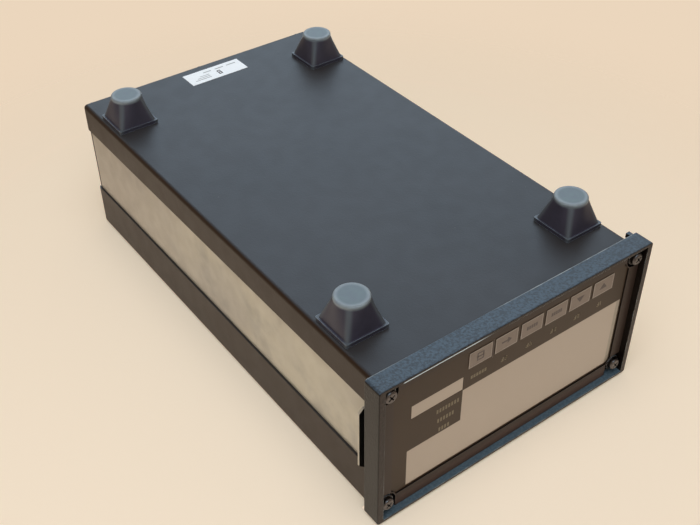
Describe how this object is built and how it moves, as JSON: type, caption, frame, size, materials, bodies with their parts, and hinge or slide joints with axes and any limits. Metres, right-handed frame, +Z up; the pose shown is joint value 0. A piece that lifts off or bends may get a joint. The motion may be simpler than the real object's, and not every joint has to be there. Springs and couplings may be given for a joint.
{
  "type": "frequency counter",
  "caption": "Bench frequency counter: long folded-steel case on rubber feet, thick front bezel with stepped display and membrane keys, coaxial and mains sockets at the rear.",
  "frame": {"origin": "under the middle of the whole instrument, on the plane its feet stand on", "axes": "+Z up, +X to the right seen from the front, +Y from the front bezel to the rear panel"},
  "size_m": [0.2108, 0.3812, 0.1295],
  "materials": {
    "bezel_paint": "black crinkle paint",
    "panel_paint": "satin black paint",
    "cover_paint": "fine textured black powder coat",
    "overlay": "fine matte printed film",
    "key_print": "pale grey printed key with dark symbol",
    "window": "pale translucent window",
    "bare_aluminium": "mill finish",
    "foot_rubber": "satin",
    "black_screw": "blackened steel",
    "zinc_steel": "zinc plated",
    "label_film": "white film",
    "nickel": "satin nickel",
    "white_insulator": "white",
    "contact_gold": "gilt",
    "black_moulding": "moulded black",
    "fuse_glass": "clear",
    "board_laminate": "solder resist",
    "chip_moulding": "moulded epoxy",
    "metal_can": "tinned steel",
    "capacitor_sleeve": "heat-shrunk sleeve",
    "black_anodised": "black anodised",
    "lamination": "varnished steel",
    "winding_tape": "yellow winding tape",
    "ribbon_grey": "grey flat cable",
    "frame_steel": "black painted steel"
  },
  "bodies": {
    "chassis": {"front_bezel": "bezel_paint", "front_panel": "panel_paint", "keypad_overlay": "overlay", "display_window": "window", "status_window": "window", "key_domes": "zinc_steel", "keypad_board": "board_laminate", "display_module": "metal_can", "display_board": "board_laminate", "front_frame": "frame_steel", "bezel_screws": "black_screw", "bottom_cover": "cover_paint", "top_cover": "cover_paint", "side_panel_left": "bare_aluminium", "side_panel_right": "bare_aluminium", "rear_corner_blocks": "bare_aluminium", "rear_panel": "panel_paint", "rear_screws": "black_screw", "foot_front_left": "foot_rubber", "foot_front_right": "foot_rubber", "foot_rear_left": "foot_rubber", "foot_rear_right": "foot_rubber", "asset_label": "label_film", "socket_nuts": "nickel", "socket_insulators": "white_insulator", "socket_contacts": "contact_gold", "mains_inlet": "black_moulding", "inlet_pins": "nickel", "switch_housing": "black_moulding", "serial_port": "zinc_steel", "serial_jackscrews": "zinc_steel", "main_board": "board_laminate", "board_standoffs": "zinc_steel", "board_screws": "zinc_steel", "processor_chip": "chip_moulding", "counter_chip": "chip_moulding", "logic_chips": "chip_moulding", "reference_oscillator": "metal_can", "input_shield": "metal_can", "smoothing_capacitors": "capacitor_sleeve", "regulator_heatsink": "black_anodised", "voltage_regulators": "chip_moulding", "transformer_core": "lamination", "transformer_winding": "winding_tape", "ribbon_headers": "chip_moulding", "ribbon_cable": "ribbon_grey", "input_a_connector": "nickel", "input_b_connector": "nickel", "gate_input_connector": "nickel", "reference_in_connector": "nickel", "reference_out_connector": "nickel"},
    "key_down": {"key_down": "key_print"},
    "key_up": {"key_up": "key_print"},
    "key_select": {"key_select": "key_print"},
    "key_enter": {"key_enter": "key_print"},
    "key_back": {"key_back": "key_print"},
    "key_menu": {"key_menu": "key_print"},
    "power_rocker": {"power_rocker": "black_moulding"},
    "fuse_drawer": {"fuse_drawer": "black_moulding", "mains_fuse": "fuse_glass"}
  },
  "joints": [
    {"name": "key_down_press", "type": "slide", "parent": "chassis", "child": "key_down", "axis": [0, 1, 0], "range_m": [0, 0.0005], "stiffness_N_per_m": 1500, "springref_m": -0.0003},
    {"name": "key_up_press", "type": "slide", "parent": "chassis", "child": "key_up", "axis": [0, 1, 0], "range_m": [0, 0.0005], "stiffness_N_per_m": 1500, "springref_m": -0.0003},
    {"name": "key_select_press", "type": "slide", "parent": "chassis", "child": "key_select", "axis": [0, 1, 0], "range_m": [0, 0.0005], "stiffness_N_per_m": 1500, "springref_m": -0.0003},
    {"name": "key_enter_press", "type": "slide", "parent": "chassis", "child": "key_enter", "axis": [0, 1, 0], "range_m": [0, 0.0005], "stiffness_N_per_m": 1500, "springref_m": -0.0003},
    {"name": "key_back_press", "type": "slide", "parent": "chassis", "child": "key_back", "axis": [0, 1, 0], "range_m": [0, 0.0005], "stiffness_N_per_m": 1500, "springref_m": -0.0003},
    {"name": "key_menu_press", "type": "slide", "parent": "chassis", "child": "key_menu", "axis": [0, 1, 0], "range_m": [0, 0.0005], "stiffness_N_per_m": 1500, "springref_m": -0.0003},
    {"name": "power_rocker_tilt", "type": "hinge", "parent": "chassis", "child": "power_rocker", "pos_m": [-0.068, 0.1754, 0.102], "axis": [1, 0, 0], "range_deg": [-16, 0]},
    {"name": "fuse_drawer_slide", "type": "slide", "parent": "chassis", "child": "fuse_drawer", "axis": [0, 1, 0], "range_m": [0, 0.016]}
  ]
}
